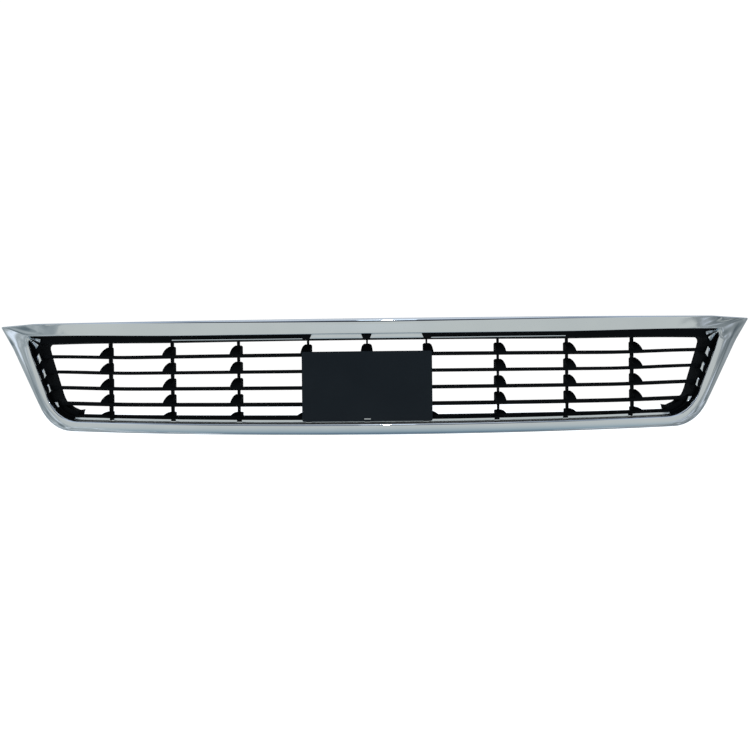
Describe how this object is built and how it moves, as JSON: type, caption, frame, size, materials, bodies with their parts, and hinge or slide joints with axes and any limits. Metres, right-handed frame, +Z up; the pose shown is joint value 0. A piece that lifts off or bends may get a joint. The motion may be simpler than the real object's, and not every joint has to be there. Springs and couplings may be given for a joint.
{
  "type": "front grille",
  "caption": "Wide swept lower front grille: chrome-plated surround, black louvre insert and a snap-in satin cover over its middle.",
  "frame": {"origin": "middle of the grille's overall box", "axes": "+X to the viewer's right along the width, +Z up, the visible face looks along -Y, and +Y points back into the car"},
  "size_m": [1.126, 0.1555, 0.1605],
  "materials": {
    "chrome_plating": "bright plated plastic",
    "black_moulding": "fine-grained black moulding",
    "cover_satin": "satin blue-black",
    "nylon": "natural nylon",
    "zinc_sheet": "zinc-plated sheet",
    "zinc_steel": "zinc-plated steel",
    "spring_steel": "phosphated spring steel",
    "seal_foam": "closed-cell foam"
  },
  "bodies": {
    "grille": {"chrome_surround": "chrome_plating", "louvre_insert": "black_moulding", "cover_grommets": "nylon", "insert_screws_top": "zinc_steel", "insert_screws_bottom": "zinc_steel", "insert_screws_left": "zinc_steel", "insert_screws_right": "zinc_steel", "end_bracket_left": "zinc_sheet", "end_bracket_right": "zinc_sheet", "bracket_screws_left": "zinc_steel", "bracket_screws_right": "zinc_steel", "bracket_nut_left": "zinc_steel", "bracket_nut_right": "zinc_steel", "upper_clip_nuts": "spring_steel", "lower_spring_clips": "spring_steel", "upper_seal_strip": "seal_foam", "lower_seal_strip": "seal_foam"},
    "cover": {"centre_cover": "cover_satin"}
  },
  "joints": [
    {"name": "cover_pull", "type": "slide", "parent": "grille", "child": "cover", "axis": [0, -1, 0], "range_m": [0, 0.014]}
  ]
}
